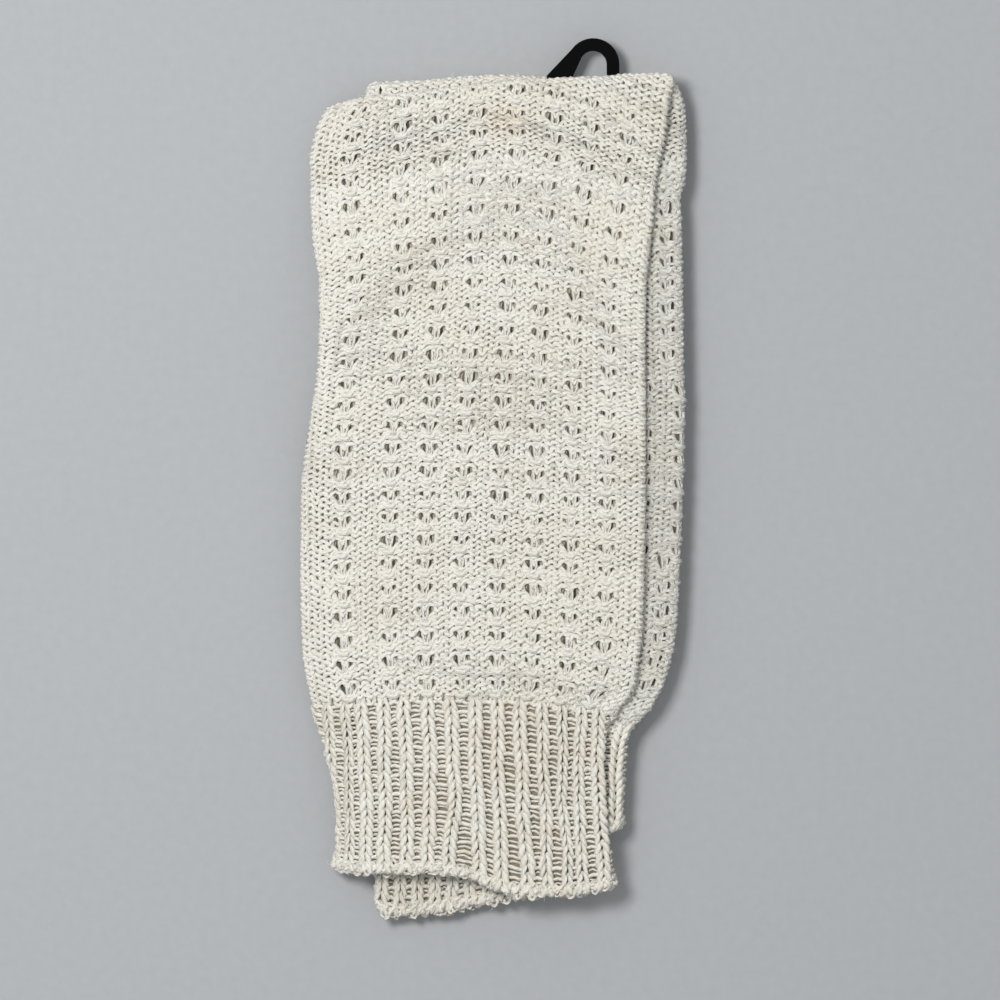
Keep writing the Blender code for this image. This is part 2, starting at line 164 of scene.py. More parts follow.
def round_tube(x_flat, left, right, reach, side=1):
    """x round a flattened tube, and height over its middle, for a place on its flat face."""
    arc, width = x_flat - left - HALF, right - left - 2 * HALF
    over = np.where(arc < 0, -arc, np.maximum(arc - width, 0.0)) / MID_WALL
    turn = np.minimum(over, math.pi)
    past = np.maximum(over - math.pi, 0.0) * MID_WALL
    bulge = reach * np.sin(turn)
    across = np.where(arc < 0, past - bulge, width - past + bulge)
    across = np.where((arc >= 0) & (arc <= width), arc, across)
    return left + HALF + across, side * reach * np.cos(turn)


def body_place(leg, x_flat, y_flat, lift):
    """Place of yarn on the eyelet stretch. y_flat runs on beyond the fold and back below."""
    tangent = read_line(FOLD[leg], x_flat) - FOLD_RADIUS - HALF
    over = np.maximum(y_flat - tangent, 0.0)
    turn = math.pi - np.minimum(over / (FOLD_RADIUS + MID_WALL), math.pi)
    past = np.maximum(over - math.pi * (FOLD_RADIUS + MID_WALL), 0.0)
    y_middle = np.where(over > 0, tangent - past + FOLD_RADIUS * np.sin(turn), y_flat)
    left, right = edges_at_turn(leg, y_middle, turn)
    x, rise = round_tube(x_flat, left, right, MID_WALL + lift)
    y = y_middle + rise * np.sin(turn)
    middle = LEVEL[(leg, "under")] + FOLD_RADIUS
    z = middle - (FOLD_RADIUS + rise) * np.cos(turn)
    return x, y, z - sag(leg, x, y_middle)


def flat_place(leg, half, x_flat, y_flat, lift):
    """Place of yarn on the upper wall of one half, where it lies flat."""
    left, right = side_edges(leg, half, y_flat)
    x, rise = round_tube(x_flat, left, right, MID_WALL + lift)
    return x, y_flat, LEVEL[(leg, half)] + rise - sag(leg, x, y_flat)


def cuff_place(leg, half, x_flat, share, lift, side=1):
    """Place of yarn on a cuff, with share 0 at its seam and 1 at its hem."""
    left, right = side_edges(leg, half, read_line(HEM[(leg, half)], 0.0))
    x_near = round_tube(x_flat, left, right, MID_WALL)[0]
    start = read_line(SEAM[(leg, half)], x_near) - SEAM_GAP
    y = start + share * (read_line(HEM[(leg, half)], x_near) - start)
    left, right = side_edges(leg, half, y)
    x, rise = round_tube(x_flat, left, right, MID_WALL + lift, side)
    return x, y, LEVEL[(leg, half)] + rise - sag(leg, x, y)


# %% [markdown]
# ## Nodes as Python
# One function adds a node to any tree and takes its type, its settings and its inputs. A small
# class wraps the socket of a shader node, so that a line such as `ply * 0.7 + fibre * 1.3` builds
# the Math nodes that work it out.

# %% Nodes, and sockets that can be added up


def add_node(tree, kind, settings=None, inputs=None):
    """A node of a tree, with its settings and the values or links of its inputs."""
    made = tree.nodes.new(kind)
    for name, value in (settings or {}).items():
        setattr(made, name, value)
    for name, value in (inputs or {}).items():
        value = getattr(value, "socket", value)
        if isinstance(value, bpy.types.NodeSocket):
            tree.links.new(value, made.inputs[name])
        else:
            made.inputs[name].default_value = value
    return made


class Wire:
    """A shader socket that builds nodes when it is added, multiplied or mixed."""

    def __init__(self, tree, socket):
        self.tree, self.socket = tree, socket

    def node(self, kind, settings=None, inputs=None, output=0):
        return Wire(self.tree, add_node(self.tree, kind, settings, inputs).outputs[output])

    def math(self, operation, *others):
        inputs = dict(enumerate((self, *others)))
        return self.node("ShaderNodeMath", {"operation": operation}, inputs)

    def __add__(self, other):
        return self.math("ADD", other)

    def __sub__(self, other):
        return self.math("SUBTRACT", other)

    def __mul__(self, other):
        return self.math("MULTIPLY", other)

    def noise(self, scale, detail, roughness=0.5):
        """Noise at this place."""
        return self.node("ShaderNodeTexNoise", None, {
            "Vector": self, "Scale": scale, "Detail": detail, "Roughness": roughness})

    def ramp(self, low, high, first=0.0, last=1.0):
        """This number taken from one range to another, and held at the ends."""
        return self.node("ShaderNodeMapRange", None, {
            "Value": self, "From Min": low, "From Max": high, "To Min": first, "To Max": last})

    def mix(self, first, second):
        """A colour between two colours, by this number."""
        first, second = (value if isinstance(value, Wire) else (*value, 1.0)
                         for value in (first, second))
        return self.node("ShaderNodeMix", {"data_type": "RGBA"},
                         {"Factor": self, 6: first, 7: second}, 2)

    def join(self, shader, name):
        """Links this to a socket of the shader."""
        self.tree.links.new(self.socket, shader.inputs[name])


def new_material(name, roughness):
    """A material, its Principled node, and a wire with the place on the object."""
    made = bpy.data.materials.new(name)
    made.use_nodes = True
    shader = made.node_tree.nodes["Principled BSDF"]
    shader.inputs["Roughness"].default_value = roughness
    place = add_node(made.node_tree, "ShaderNodeTexCoord").outputs["Object"]
    return made, shader, Wire(made.node_tree, place)


# %% [markdown]
# ## Cotton yarn
# The yarn is soft two-ply cotton, matte, cream and slightly uneven. The plies wind round each
# other, so the bump is a slanted wave that follows two attributes of the yarn: how far along it
# a point lies and how far round. Noise gives the uneven fibres, and a slow noise makes some
# stretches warmer. A low sheen stands for the fine fuzz.

# %% Yarn material
STAIN_X, STAIN_Y = 0.0048, 0.1200
STAIN_ACROSS, STAIN_ALONG = 100.0, 180.0     # one divided by its reach, in metres
STAIN_LOWEST, STAIN_FULL = 0.0145, 0.0150    # heights that only the top face has
STAIN_COLOUR = (0.83, 0.70, 0.55)


def stained(place, colour):
    """The faint brown stain near the fold of the upper leg warmer."""
    x, y, z = (place.node("ShaderNodeSeparateXYZ", None, {"Vector": place}, i) for i in range(3))
    across, along = (x - STAIN_X) * STAIN_ACROSS, (y - STAIN_Y) * STAIN_ALONG
    far = across * across + along * along + place.noise(260.0, 1.0) * 1.6
    spot = far.ramp(0.7, 2.1, 0.55, 0.0) * z.ramp(STAIN_LOWEST, STAIN_FULL)
    return spot.mix(colour, STAIN_COLOUR)


def yarn_material(name, pale, warm, twist):
    """Cotton yarn between two creams, with one turn of its plies in `twist` millimetres."""
    made, shader, place = new_material(name, 0.88)
    shader.inputs["Sheen Weight"].default_value = 0.25
    shader.inputs["Sheen Roughness"].default_value = 0.5
    shader.inputs["Specular IOR Level"].default_value = 0.25
    along, around, tone = (
        place.node("ShaderNodeAttribute", {"attribute_name": attribute}, output=2)
        for attribute in ("yarn_along", "yarn_around", "yarn_tone"))
    ply = (along * (2 * math.pi / twist) + around * (4 * math.pi)).math("SINE")
    fibre = place.noise(1900.0, 2.0, 0.65)
    warmth = (place.noise(38.0, 3.0, 0.6) + tone * 0.25).ramp(0.38, 0.78)
    # Painted shade: the yarn's colour darkens in the grooves between its plies, where shade
    # falls.
    ply_groove_shade = (ply + fibre * 0.8).ramp(-1.0, 0.5, 0.3, 0.0)
    shade = ply_groove_shade.mix(warmth.mix(pale, warm), tuple(c * 0.72 for c in warm))
    stained(place, shade).join(shader, "Base Color")
    bump = place.node("ShaderNodeBump", None, {
        "Height": ply * 0.7 + fibre * 1.3, "Strength": 0.9, "Distance": 0.00022})
    bump.join(shader, "Normal")
    return made


CREAM = yarn_material("cream_cotton_yarn", (0.87, 0.85, 0.775), (0.82, 0.775, 0.67), 2.2)
# Painted shade: a darker, greyer copy of the cream yarn for the strip of the lower half, which
# lies in the shade of the layer above it.
SHADED_STRIP_CREAM = yarn_material("greyer_cotton_yarn", (0.79, 0.775, 0.71), (0.74, 0.71, 0.62), 2.2)
RIB_CREAM = yarn_material("cream_rib_yarn", (0.88, 0.855, 0.77), (0.82, 0.76, 0.64), 2.4)
print("yarn materials", CREAM.name, SHADED_STRIP_CREAM.name, RIB_CREAM.name)

# %% [markdown]
# ## Geometry Nodes from a script
# Yarn and fuzz both come from a tree of Geometry Nodes, so three small functions take what they
# share. The first starts a tree with named inputs. The second ends it in Realize Instances and
# Set Material. The third runs a tree on a mesh and keeps the result as a plain mesh.

# %% Helpers for the trees


def new_tree(name, inputs):
    """An empty Geometry Nodes tree with named inputs."""
    tree = bpy.data.node_groups.new(name, "GeometryNodeTree")
    for title, kind in inputs.items():
        tree.interface.new_socket(title, in_out="INPUT", socket_type="NodeSocket" + kind)
    tree.interface.new_socket("Geometry", in_out="OUTPUT", socket_type="NodeSocketGeometry")
    return tree


def end_tree(tree, shape, look):
    """Ends a tree with real geometry in one material."""
    real = add_node(tree, "GeometryNodeRealizeInstances", None, {"Geometry": shape})
    dyed = add_node(tree, "GeometryNodeSetMaterial", None, {
        "Geometry": real.outputs[0], "Material": look})
    tree.links.new(dyed.outputs[0], add_node(tree, "NodeGroupOutput").inputs[0])
    return tree


def run_tree(name, mesh, tree, values):
    """A new piece: what a tree makes of a mesh, kept as a plain mesh."""
    source = bpy.data.objects.new(name + "_source", mesh)
    bpy.context.scene.collection.objects.link(source)
    modifier = source.modifiers.new("tree", "NODES")
    modifier.node_group = tree
    for socket in tree.interface.items_tree:
        if socket.in_out == "INPUT" and socket.name in values:
            modifier[socket.identifier] = values[socket.name]
    ready = source.evaluated_get(bpy.context.evaluated_depsgraph_get())
    finished = bpy.data.meshes.new_from_object(ready)
    bpy.data.objects.remove(source)
    made = bpy.data.objects.new(name, finished)
    bpy.context.scene.collection.objects.link(made)
    print(name, len(finished.polygons), "faces")
    return made


# %% [markdown]
# ## Turning courses into yarn
# A course is only a line of points with a thickness. Geometry Nodes turn each line into a curve,
# set its radius from that thickness and sweep a small ring along it. The position round the ring
# is stored too, because the material's twist needs it. The caps are filled, so that each yarn is
# a closed solid.

# %% Lines to yarn


def yarn_tree():
    """Sweeps a ring along every line of a mesh."""
    tree = new_tree("lines_to_yarn", {
        "Geometry": "Geometry", "Sides": "Int", "Thickness": "Float", "Material": "Material"})
    given = add_node(tree, "NodeGroupInput").outputs
    ring = add_node(tree, "GeometryNodeCurvePrimitiveCircle", None, {
        "Resolution": given["Sides"], "Radius": 1.0})
    marked = add_node(tree, "GeometryNodeStoreNamedAttribute", {"data_type": "FLOAT"}, {
        "Geometry": ring.outputs["Curve"], "Name": "yarn_around",
        "Value": add_node(tree, "GeometryNodeSplineParameter").outputs["Factor"]})
    lines = add_node(tree, "GeometryNodeMeshToCurve", None, {"Mesh": given["Geometry"]})
    thick = add_node(tree, "GeometryNodeInputNamedAttribute", {"data_type": "FLOAT"}, {
        "Name": "yarn_radius"})
    scaled = add_node(tree, "ShaderNodeMath", {"operation": "MULTIPLY"}, {
        0: thick.outputs["Attribute"], 1: given["Thickness"]})
    swept = add_node(tree, "GeometryNodeCurveToMesh", None, {
        "Curve": lines.outputs["Curve"], "Profile Curve": marked.outputs["Geometry"],
        "Scale": scaled.outputs[0], "Fill Caps": True})
    smooth = add_node(tree, "GeometryNodeSetShadeSmooth", None, {
        "Geometry": swept.outputs["Mesh"]})
    return end_tree(tree, smooth.outputs[0], given["Material"])


YARN_TREE = yarn_tree()


def length_along(line):
    """Distance of each point of a line from its start."""
    return np.concatenate([[0.0], np.cumsum(np.linalg.norm(np.diff(line, axis=0), axis=1))])


def lay_yarn(name, lines, radii, tones, sides, look):
    """A plain mesh of round yarn along millimetre lines, kept above the surface below."""
    counts = [len(line) for line in lines]
    thick = np.concatenate(radii)
    points = np.concatenate(lines) - (CENTRE_X, CENTRE_Y, 0.0)
    points[:, 2] = np.maximum(points[:, 2], thick)
    steps = np.delete(np.arange(len(points) - 1), np.cumsum(counts)[:-1] - 1)
    mesh = bpy.data.meshes.new(name + "_lines")
    mesh.vertices.add(len(points))
    mesh.vertices.foreach_set("co", (points * MM).ravel())
    mesh.edges.add(len(steps))
    mesh.edges.foreach_set("vertices", np.stack([steps, steps + 1], 1).ravel())
    for key, values in (("yarn_radius", thick),
                        ("yarn_along", np.concatenate([length_along(line) for line in lines])),
                        ("yarn_tone", np.repeat(tones, counts))):
        mesh.attributes.new(key, "FLOAT", "POINT").data.foreach_set("value", values)
    mesh.update()
    return run_tree(name, mesh, YARN_TREE, {
        "Sides": sides, "Thickness": MM, "Material": look})


# %% [markdown]
# ## The eyelet pattern
# Each stitch is a loop whose head and foot show on this side of the cloth and whose legs lie
# behind. Its line is a wave: the foot and head swing out and the legs swing in. Every fourth
# course has pairs of eyelets, three wales apart. Rows and columns start from a few measured ones,
# and two tables of small shifts then take them to where the cloth is pulled out of line.

# %% Pattern of the eyelets
STITCH, COURSE = 4.15, 2.0         # width of a wale and height of a course, in millimetres
LOOP_HALF = 0.84                   # half the height of a loop, in courses
LOOP_LEAN = 0.12                   # how far the legs lean, in wales
SWING = 0.54                       # how far heads and feet stand out
YARN = 0.80                        # radius of the yarn
STEPS = np.radians([0, 35, 70, 110, 145, 180, 215, 250, 290, 325])
COARSE_STEPS = np.radians([0, 55, 125, 180, 235, 305])
COLUMNS = [(0.5, 0.118), (4.5, 0.264), (7.5, 0.375), (10.5, 0.484), (13.5, 0.589),
           (16.5, 0.690), (19.5, 0.795), (22.5, 0.897)]
ROWS = [(2, -68.3), (6, -60.2), (10, -52.0), (14, -43.7), (18, -35.7), (22, -26.9),
        (26, -19.4), (30, -11.7), (34, -4.1), (78, 83.4), (82, 92.7), (86, 102.0),
        (90, 111.5), (94, 118.3), (98, 124.8), (102, 132.8)]
ARCH = [(0.0, 11.0), (0.118, 8.0), (0.264, 4.4), (0.375, 2.0), (0.484, 0.2), (0.589, 0.3),
        (0.690, 2.0), (0.795, 4.8), (0.897, 9.2), (1.0, 13.0)]
DRIFT = [(0.0, 0.0), (0.25, 4.3), (0.45, 5.2), (0.59, 4.2), (0.70, 2.4), (0.90, 2.4), (1.0, 0.5)]
DRIFT_START, DRIFT_LENGTH = 111.0, 19.0
ARCH_START, ARCH_COURSES = 30, 50.0    # courses where rows take on the arch of the fold
SEAM_COURSES = 40.0                    # courses that still follow the line of the seam
SEAM_MIDDLE = -73.3
FACE_LEFT, FACE_WIDTH = -60.0, 110.0
EDGE_END_FRONT, EDGE_END_BACK = 133.0, 132.0   # heights where the side edges turn into the fold
# A row of these two tables is a height, and then a shift at each of the shares.
NUDGE_SHARES = (0.118, 0.264, 0.484, 0.690, 0.897)
LEFTWARD = [(-68, -0.9, 0.2, 1.0, 0.8, 0.4), (-37, -1.2, 0.7, 1.9, 1.5, 1.0),
            (4, -0.4, 0.1, 1.5, 1.0, 1.0), (35, 2.5, 2.2, 2.4, 1.7, 1.0),
            (62, 0.3, 0.6, 1.2, 1.2, 1.4), (77, -0.9, -0.6, 0.3, 0.6, 1.0),
            (95, -0.2, 0.0, 0.0, 0.0, 0.3), (111, 0.0, 0.0, 0.0, 0.0, 0.0)]
DOWNWARD = [(-75, 0.2, 0.1, 0.0, 0.0, 0.0), (-50, 1.4, 0.6, 0.0, 0.0, 0.8),
            (-30, 1.9, 0.7, 0.2, 0.5, 1.5), (-12, 1.6, 0.6, 0.3, 1.2, 3.0),
            (2, 1.0, 0.2, 0.4, 1.4, 3.5), (18, -0.3, 0.0, 0.6, 0.9, 2.4),
            (34, -0.9, -0.8, 0.4, 0.9, 1.7), (47, -1.9, -1.4, 0.0, 0.3, 0.3),
            (66, -0.9, -1.2, 0.0, 0.0, 0.0), (86, 0.8, 0.8, 0.3, 0.0, 0.0),
            (103, 2.0, 1.6, 0.5, 0.0, 0.0), (118, 0.4, 0.4, 0.0, 0.0, 0.0)]
random = np.random.default_rng(11)


def share_of(wale):
    """Share of the cloth's width where a wale lies."""
    wales, shares = np.array(COLUMNS).T
    slope_low = (shares[1] - shares[0]) / (wales[1] - wales[0])
    slope_high = (shares[-1] - shares[-2]) / (wales[-1] - wales[-2])
    share = np.interp(wale, wales, shares)
    share = np.where(wale < wales[0], shares[0] + (wale - wales[0]) * slope_low, share)
    return np.where(wale > wales[-1], shares[-1] + (wale - wales[-1]) * slope_high, share)


def height_of(course, share):
    """Height on the front face, in millimetres, where a course crosses a share of its width."""
    courses, heights = np.array(ROWS).T
    y = np.interp(course, courses, heights)
    y = np.where(course > courses[-1], heights[-1] + (course - courses[-1]) * COURSE, y)
    y = np.where(course < courses[0], heights[0] + (course - courses[0]) * COURSE, y)
    top = soft_step((course - ARCH_START) / ARCH_COURSES)
    base = soft_step((SEAM_COURSES - course) / SEAM_COURSES)
    seam = read_line(SEAM[("front", "top")], FACE_LEFT + FACE_WIDTH * share) - SEAM_MIDDLE
    return y - read_line(ARCH, share) * top + seam * base


def nudge(rows, share, y):
    """Reads a shift in millimetres between the heights and shares of a few measured rows."""
    heights, *columns = zip(*rows)
    place = np.interp(share, NUDGE_SHARES, np.arange(len(columns)))
    return sum(np.clip(1 - abs(place - i), 0, 1) * np.interp(y, heights, column)
               for i, column in enumerate(columns))


def front_flat(wale, course):
    """x and y of a stitch on the front face, before it goes round an edge or the fold."""
    share = share_of(wale)
    y = height_of(course, share)
    shift = nudge(LEFTWARD, share, y)
    y = y - nudge(DOWNWARD, share, y)
    left, right = side_edges("front", "top", np.minimum(y, EDGE_END_FRONT))
    drift = read_line(DRIFT, share) * soft_step((y - DRIFT_START) / DRIFT_LENGTH)
    return left + share * (right - left) - drift - shift, y


print(len(ROWS), "measured rows and", len(COLUMNS), "columns of eyelets")

# %% [markdown]
# ## Openings in the knitting
# An eyelet pushes the yarn round it aside, as a finger does. Two thin strands cross between the
# two eyelets of a pair, and one wide bump lies below them. Short dark strands behind each eyelet
# stand for the far wall in deep shade.

# %% Loops and eyelets
HOLE_REACH = 3.5                   # courses above and below a hole that it can push
HOLE_TAPER = 0.35                  # how much wider a hole is at its upper end
HOLE_ROUNDNESS = 2.4
HOLE_SIDE, HOLE_HALF = 0.32, 0.29  # from the middle of a pair to a hole, and its half width
DIMPLE_SIDE, DIMPLE_BELOW, DIMPLE_HALF, DIMPLE_TALL = 0.47, 2.68, 0.12, 0.34
SHADE_SIDE, SHADE_DEPTH = 0.38, -1.15
PLAIN_ROWS = range(38, 78, 4)      # rows of eyelets between the measured ones


def open_eyelets(wale, course, holes):
    """Pushes yarn away from eyelets.

    A hole is (wale, course, half width, half height, lean). It narrows towards its lower end.
    """
    moved_w, moved_c = wale.copy(), course.copy()
    for w, c, half_w, half_c, lean in holes:
        near = np.abs(course[:, 0] - c) < HOLE_REACH
        dc = (course[near] - c) / half_c
        up = np.clip(dc, -1.2, 1.2)
        half_w = half_w * (1 + HOLE_TAPER * up)
        dw = (wale[near] - w - lean * up) / half_w
        far = np.sqrt(dw ** 2 + dc ** 2) + 1e-6
        pushed = (far ** HOLE_ROUNDNESS + 1) ** (1 / HOLE_ROUNDNESS)
        push = np.where(far < 4, pushed / far - 1, 0.0)
        moved_w[near] += dw * push * half_w
        moved_c[near] += dc * push * half_c
    return moved_w, moved_c


def loops(first_wale, last_wale, first_course, last_course, holes, detail=STEPS):
    """Wales, courses and lift of every point of a stretch of plain purl loops."""
    wales = np.arange(first_wale, last_wale + 1)
    courses = np.arange(first_course, last_course + 1)
    shape = (len(courses), len(wales), 1)
    angle = detail[None, None, :]
    tall = LOOP_HALF * (1 + random.normal(0, 0.07, shape))
    lean = LOOP_LEAN * (1 + random.normal(0, 0.3, shape))
    shift_w = random.normal(0, 0.04, shape)
    shift_c = random.normal(0, 0.06, shape)
    wale = wales[None, :, None] + angle / (2 * math.pi) + lean * np.sin(2 * angle) + shift_w
    course = courses[:, None, None] + tall * np.cos(angle) + shift_c
    lift = SWING * np.cos(2 * angle) * (1 + random.normal(0, 0.12, shape))
    thick = YARN * (1 + random.normal(0, 0.07, shape)) * (1.08 - 0.12 * np.cos(2 * angle))
    thick = thick * (1 + random.normal(0, 0.06, thick.shape))
    flat = (len(courses), -1)
    wale, course = open_eyelets(wale.reshape(flat), course.reshape(flat), holes)
    return wale, course, lift.reshape(flat), thick.reshape(flat)


def eyelet_pair(wale, course, scale=1.0):
    """Two eyelets, and two small openings below the ends of the bump under them."""
    size = np.clip(random.normal(1.06, 0.11) + random.normal(0, 0.09, 2), 0.84, 1.3) * scale
    tilt = random.normal(0, 0.07, 2)
    lean = random.uniform(0.05, 0.14, 2)
    holes = [(wale + way * HOLE_SIDE, course + tilt[i], HOLE_HALF * size[i], size[i],
              way * lean[i]) for i, way in enumerate((-1, 1))]
    return holes + [(wale + way * DIMPLE_SIDE, course - DIMPLE_BELOW, DIMPLE_HALF, DIMPLE_TALL,
                     0.0) for way in (-1, 1)]


PAIRS = [(wale, course) for course in [row[0] for row in ROWS] + list(PLAIN_ROWS)
         for wale, _ in COLUMNS]
HOLES = []
for wale, course in PAIRS:
    HOLES += eyelet_pair(wale, course, 0.75 if course > 100 else 1.0)
print(len(PAIRS), "pairs of eyelets")


def extra_strands(pairs):
    """Thin strands between the two eyelets of each pair, and the wide bump below them."""
    strands = []
    for wale, course in pairs:
        wobble = random.normal(0, 0.04, 4)
        for side in (-1, 1):
            strands.append((
                np.array([wale + side * 0.26, wale + side * (0.22 + wobble[0]),
                          wale + side * (0.15 + wobble[1]), wale + side * 0.05]),
                course + np.array([1.2, 0.4, -0.6, -1.6]),
                np.array([0.1, 0.5, 0.55, 0.2]), np.array([0.45, 0.5, 0.5, 0.45])))
        strands.append((
            wale + np.array([-0.56, -0.42, -0.16, 0.16, 0.42, 0.56]) + wobble[2],
            course + np.array([-1.45, -1.75, -1.98, -1.98, -1.75, -1.45]) + wobble[3],
            np.array([-0.1, 0.55, 0.75, 0.75, 0.55, -0.1]),
            np.array([0.65, 0.85, 0.98, 0.98, 0.85, 0.65])))
    return strands


def lay_courses(name, place, stretch, look, sides, extra=()):
    """Yarn for a stretch of loops, with any extra strands."""
    wale, course, lift, thick = stretch
    x, y, z = place(wale, course, lift)
    spacing = height_of(course + 1.0, 0.5) - height_of(course - 1.0, 0.5)
    thick = thick * spacing / (2 * COURSE)
    lines = list(np.stack([x, y, z], -1))
    radii = list(thick)
    for w, c, up, r in extra:
        lines.append(np.stack(place(w, c, up), -1))
        radii.append(r)
    tones = random.normal(0, 0.35, len(lines))
    return lay_yarn(name, lines, radii, tones, sides, look)


def front_knit(wale, course, lift):
    """Places on the front leg warmer's outer wall."""
    return body_place("front", *front_flat(wale, course), lift)


def eyelet_shade(name, place, pairs):
    """Short dark strands behind the eyelets, where the shaded far wall would show."""
    lines, radii = [], []
    for wale, course in pairs:
        for side in (-SHADE_SIDE, SHADE_SIDE):
            w = wale + side * np.array([0.9, 1.0, 1.1])
            c = course + np.array([-0.95, 0.0, 0.95])
            lines.append(np.stack(place(w, c, np.full(3, SHADE_DEPTH)), -1))
            radii.append(np.array([0.75, 1.0, 0.75]))
    return lay_yarn(name, lines, radii, np.zeros(len(lines)), 5, DEEP)


CUFF_FROM, CUFF_FULL = -0.074, -0.082      # y where the colour of the cuffs starts, in metres


def inner_material(name, deep, light, scale=700.0, dark=0.6):
    """Cloth in the shade: one colour behind the eyelet stretch, another behind the cuffs."""
    made, shader, place = new_material(name, 0.95)
    spots = place.noise(scale, 2.0, 0.65).ramp(0.35, 0.7)
    along = place.node("ShaderNodeSeparateXYZ", None, {"Vector": place}, 1)
    body = spots.mix(tuple(c * dark for c in deep), deep)
    along.ramp(CUFF_FROM, CUFF_FULL).mix(body, light).join(shader, "Base Color")
    return made


SHADE = inner_material("shaded_inside", (0.50, 0.455, 0.365), (0.27, 0.225, 0.165))
DEEP = inner_material("deep_shade", (0.19, 0.17, 0.12), (0.19, 0.17, 0.12), 260.0, 0.25)
pieces = {"front": [], "back": []}
for name, low, high, last in (("lower", 0, 50, 26), ("upper", 51, 84, 26),
                              ("fold", 85, 115, 28)):
    inside = [p for p in PAIRS if low - 0.5 <= p[1] <= high + 0.5]
    piece = lay_courses(f"front_leg_eyelet_knit_{name}", front_knit,
                        loops(-4, last, low, high, HOLES), CREAM, 5, extra_strands(inside))
    pieces["front"].append(piece)
pieces["front"].append(eyelet_shade("front_leg_eyelet_shade", front_knit, PAIRS))

# %% [markdown]
# ## The half folded under
# Only a strip of the lower half shows, at the right, and its rounded edges show from the sides.
# The strip has one column of eyelets near both ends. Halfway along, the tube is turned a little,
# so that one column is half hidden and the next one runs along the edge. Wales are counted from
# the edge, so that the columns follow it as they do on the real one.

# %% Edges of the lower layers
EDGE_COLUMN = 1.3                  # wales from the edge to the column of eyelets
TWISTED_COLUMNS = (-3.2, -0.2)     # columns halfway along, where the tube is turned a little
LUMPS_LOW, LUMPS_HIGH, LUMPS_FADE = 98.0, 121.0, 4.0
LUMP_PEAK, LUMP_LENGTH = 103.4, 6.4


def edge_place(leg, half, edge, lumps=0.0):
    """Places on a half that lies flat, with wales counted from one of its edges.

    Lumps make the edge bulge in three soft waves below the fold.
    """
    def place(wale, course, lift):
        y = height_of(course, 0.6)
        left, right = side_edges(leg, half, y)
        x_flat = (left if edge == "left" else right) + wale * STITCH
        near = soft_step((y - LUMPS_LOW) / LUMPS_FADE) * soft_step((LUMPS_HIGH - y) / LUMPS_FADE)
        x_flat = x_flat + lumps * near * np.cos((y - LUMP_PEAK) * 2 * math.pi / LUMP_LENGTH)
        return flat_place(leg, half, x_flat, y, lift)
    return place


EDGE_PAIRS = []
for _, course in PAIRS[::len(COLUMNS)]:
    if 26 <= course <= 54:
        EDGE_PAIRS += [(wale, course - 2) for wale in TWISTED_COLUMNS]
    elif course < 84:
        EDGE_PAIRS.append((-EDGE_COLUMN, course))
edge_holes = [hole for pair in EDGE_PAIRS for hole in eyelet_pair(*pair)]
# The strip's yarn is the darker copy of the cream: painted shade for the shadow of the layer
# above.
pieces["front"].append(lay_courses(
    "front_leg_under_knit_right", edge_place("front", "under", "right", 0.6),
    loops(-4, 1, -6, 103, edge_holes), SHADED_STRIP_CREAM, 5, extra_strands(EDGE_PAIRS)))
pieces["front"].append(eyelet_shade(
    "front_leg_under_eyelet_shade", edge_place("front", "under", "right"), EDGE_PAIRS))
pieces["front"].append(lay_courses(
    "front_leg_under_knit_left", edge_place("front", "under", "left"),
    loops(-4, 0, -4, 97, [], COARSE_STEPS), CREAM, 4))
for half in ("top", "under"):
    for edge, first, last in (("right", -1, 1), ("left", -2, 0)):
        pieces["back"].append(lay_courses(
            f"back_leg_{half}_knit_{edge}", edge_place("back", half, edge),
            loops(first, last, -4, 99, [], COARSE_STEPS), CREAM, 4))

# %% [markdown]
# ## The back leg warmer
# It shows at the fold, above the front one, and from below. The hook presses a dent into it. The
# underside is knitted with fewer points for each loop, because it lies on the floor.

# %% Fold and underside of the back leg warmer
DENT_LEFT, DENT_RIGHT, DENT_BOTTOM, DENT_SLOPE = 17.0, 45.4, 124.5, 3.0
DENT_KNIT, KNIT_GIVE, KNIT_REST = 5.1, 0.3, 7.0    # height of the dent, and what it leaves over
BACK_START = -78.0                                 # y of its first course
BACK_FIRST_WALE, BACK_WALES = -3.5, 29.0
SOLE_LIFT = 0.4                                    # how flat the loops below are pressed


def back_flat(wale, course):
    """x and y of a stitch on the back leg warmer, before it goes over the fold."""
    y = course * COURSE + BACK_START
    crest = read_line(FOLD["back"], 0.0)
    low = np.minimum(y, 2 * crest - y + math.pi * (FOLD_RADIUS + MID_WALL))
    left, right = side_edges("back", "top", np.minimum(low, EDGE_END_BACK))
    x = left + (wale - BACK_FIRST_WALE) / BACK_WALES * (right - left)
    return x, y - (crest - read_line(FOLD["back"], x))


def under_hook(x, y):
    """0 to 1: how far the hook presses on a place of the back leg warmer."""
    side = np.minimum(x - DENT_LEFT, DENT_RIGHT - x) / DENT_SLOPE
    return soft_step(np.minimum(side, (y - DENT_BOTTOM) / DENT_SLOPE) + 1.0)


def back_knit(wale, course, lift):
    """Places on the back leg warmer's outer wall, pressed down under the hook."""
    x, y, z = body_place("back", *back_flat(wale, course), lift)
    floor_z = DENT_KNIT + KNIT_GIVE * (z - KNIT_REST)
    return x, y, np.where(z > floor_z, z + (floor_z - z) * under_hook(x, y), z)


def back_sole(wale, course, lift):
    """Places on the back leg warmer's underside, where the loops lie flatter."""
    return back_knit(wale, course, lift * SOLE_LIFT)


